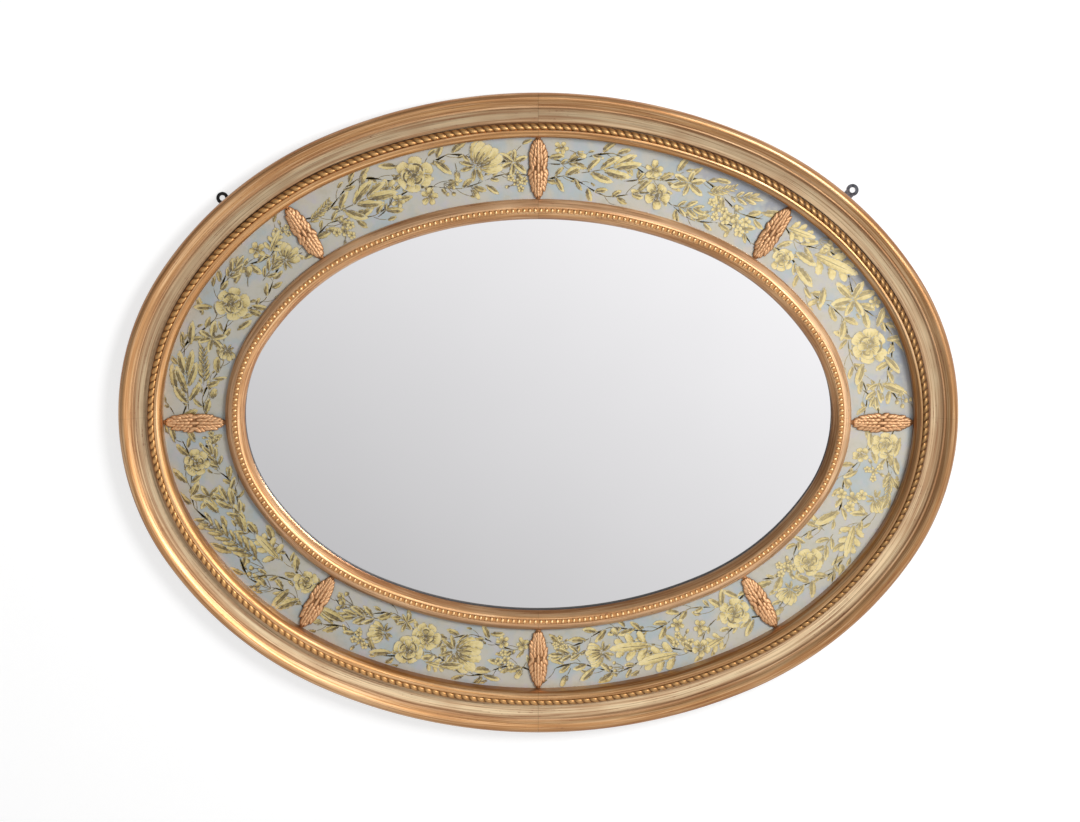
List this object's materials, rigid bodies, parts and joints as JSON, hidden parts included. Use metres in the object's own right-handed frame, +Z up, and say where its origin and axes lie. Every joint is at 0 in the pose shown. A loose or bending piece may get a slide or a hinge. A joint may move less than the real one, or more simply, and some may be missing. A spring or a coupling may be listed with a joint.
{
  "type": "oval wall mirror",
  "caption": "Oval giltwood wall mirror with a carved moulded frame, a gilt and painted glass border under leaf clasps, a beaded slip and a plain mirror plate.",
  "frame": {"origin": "centre of the oval on the flat back of the backboard, which lies on the wall plane", "axes": "+X to the right along the oval's long axis as seen from the front, +Y into the wall (the front faces -Y), +Z up along the short axis of the oval"},
  "size_m": [1.18, 0.045, 0.916],
  "materials": {
    "gilt_moulding": "water-gilt over red bole, rubbed",
    "gilt_rope": "gilt carved rope",
    "gilt_slip": "gilt",
    "gilt_pearls": "gilt carved pearls",
    "gilt_clasp": "gilt carved leaves",
    "pine_ring": "old pine, washed with ochre",
    "bed_pine": "planed pine",
    "backboard_pine": "old pine boards",
    "block_pine": "pine offcuts",
    "painted_glass": "clear glass, painted and gilt on its back",
    "mirror": "silvered plate",
    "brass_pin": "drawn brass",
    "screw_steel": "bright steel, aged",
    "plate_screw_brass": "brass",
    "plate_black": "blackened",
    "plate_steel": "zinc-grey"
  },
  "bodies": {
    "root": {"back_ring_bottom": "pine_ring", "back_ring_left": "pine_ring", "back_ring_lower_left": "pine_ring", "back_ring_lower_right": "pine_ring", "back_ring_right": "pine_ring", "back_ring_top": "pine_ring", "back_ring_upper_left": "pine_ring", "back_ring_upper_right": "pine_ring", "backboard_lower": "backboard_pine", "backboard_middle": "backboard_pine", "backboard_screws": "screw_steel", "backboard_upper": "backboard_pine", "bed_screws": "screw_steel", "border_bed_lower": "bed_pine", "border_bed_upper": "bed_pine", "clasp_bottom": "gilt_clasp", "clasp_left": "gilt_clasp", "clasp_lower_left": "gilt_clasp", "clasp_lower_right": "gilt_clasp", "clasp_pins": "brass_pin", "clasp_right": "gilt_clasp", "clasp_top": "gilt_clasp", "clasp_upper_left": "gilt_clasp", "clasp_upper_right": "gilt_clasp", "glazing_blocks": "block_pine", "hanging_plate_left": "plate_black", "hanging_plate_right": "plate_steel", "hanging_plate_screws": "plate_screw_brass", "mirror_plate": "mirror", "moulding_lower_left": "gilt_moulding", "moulding_lower_right": "gilt_moulding", "moulding_upper_left": "gilt_moulding", "moulding_upper_right": "gilt_moulding", "panel_bottom_left": "painted_glass", "panel_bottom_right": "painted_glass", "panel_left_lower": "painted_glass", "panel_left_upper": "painted_glass", "panel_right_lower": "painted_glass", "panel_right_upper": "painted_glass", "panel_top_left": "painted_glass", "panel_top_right": "painted_glass", "pearl_strip_lower_left": "gilt_pearls", "pearl_strip_lower_right": "gilt_pearls", "pearl_strip_upper_left": "gilt_pearls", "pearl_strip_upper_right": "gilt_pearls", "ring_screws": "screw_steel", "rope_strip_lower_left": "gilt_rope", "rope_strip_lower_right": "gilt_rope", "rope_strip_upper_left": "gilt_rope", "rope_strip_upper_right": "gilt_rope", "slip_lower_left": "gilt_slip", "slip_lower_right": "gilt_slip", "slip_screws": "screw_steel", "slip_upper_left": "gilt_slip", "slip_upper_right": "gilt_slip"}
  },
  "joints": []
}
